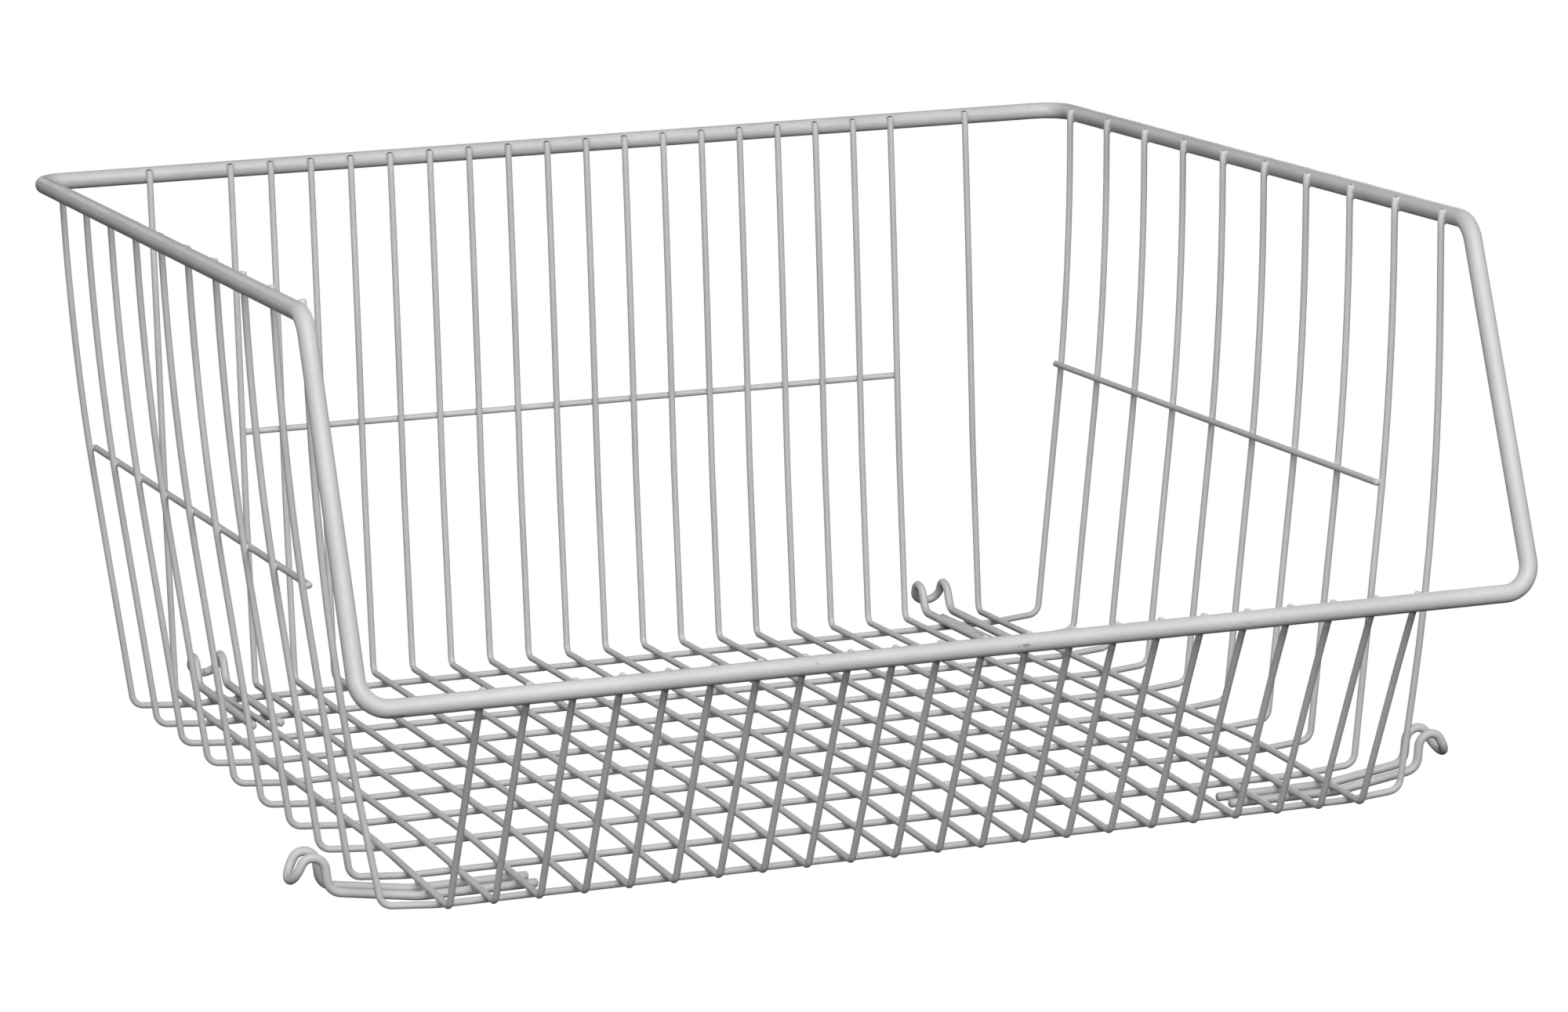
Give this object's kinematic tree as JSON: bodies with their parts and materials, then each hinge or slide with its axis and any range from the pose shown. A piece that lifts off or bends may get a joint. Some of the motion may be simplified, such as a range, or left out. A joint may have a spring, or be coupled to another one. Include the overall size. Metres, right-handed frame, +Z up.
{
  "type": "wire storage basket",
  "caption": "Stacking wire storage basket of coated steel: thick rim rod, welded grid of thin wires, low open front, stays on back and sides, hooked feet.",
  "frame": {"origin": "under the middle of the basket, on the plane it stands on", "axes": "+X to the right as seen from the open front, +Y from the open front to the back, +Z up"},
  "size_m": [0.4054, 0.4076, 0.1976],
  "materials": {
    "coated_wire": "satin"
  },
  "bodies": {
    "root": {"rim": "coated_wire", "long_wire_01": "coated_wire", "long_wire_02": "coated_wire", "long_wire_03": "coated_wire", "long_wire_04": "coated_wire", "long_wire_05": "coated_wire", "long_wire_06": "coated_wire", "long_wire_07": "coated_wire", "long_wire_08": "coated_wire", "long_wire_09": "coated_wire", "long_wire_10": "coated_wire", "long_wire_11": "coated_wire", "long_wire_12": "coated_wire", "long_wire_13": "coated_wire", "long_wire_14": "coated_wire", "long_wire_15": "coated_wire", "long_wire_16": "coated_wire", "long_wire_17": "coated_wire", "long_wire_18": "coated_wire", "long_wire_19": "coated_wire", "long_wire_20": "coated_wire", "long_wire_21": "coated_wire", "long_wire_22": "coated_wire", "cross_wire_01": "coated_wire", "cross_wire_02": "coated_wire", "cross_wire_03": "coated_wire", "cross_wire_04": "coated_wire", "cross_wire_05": "coated_wire", "cross_wire_06": "coated_wire", "cross_wire_07": "coated_wire", "cross_wire_08": "coated_wire", "cross_wire_09": "coated_wire", "cross_wire_10": "coated_wire", "stay_back": "coated_wire", "stay_left": "coated_wire", "stay_right": "coated_wire", "foot_front_right": "coated_wire", "foot_front_left": "coated_wire", "foot_back_right": "coated_wire", "foot_back_left": "coated_wire"}
  },
  "joints": []
}
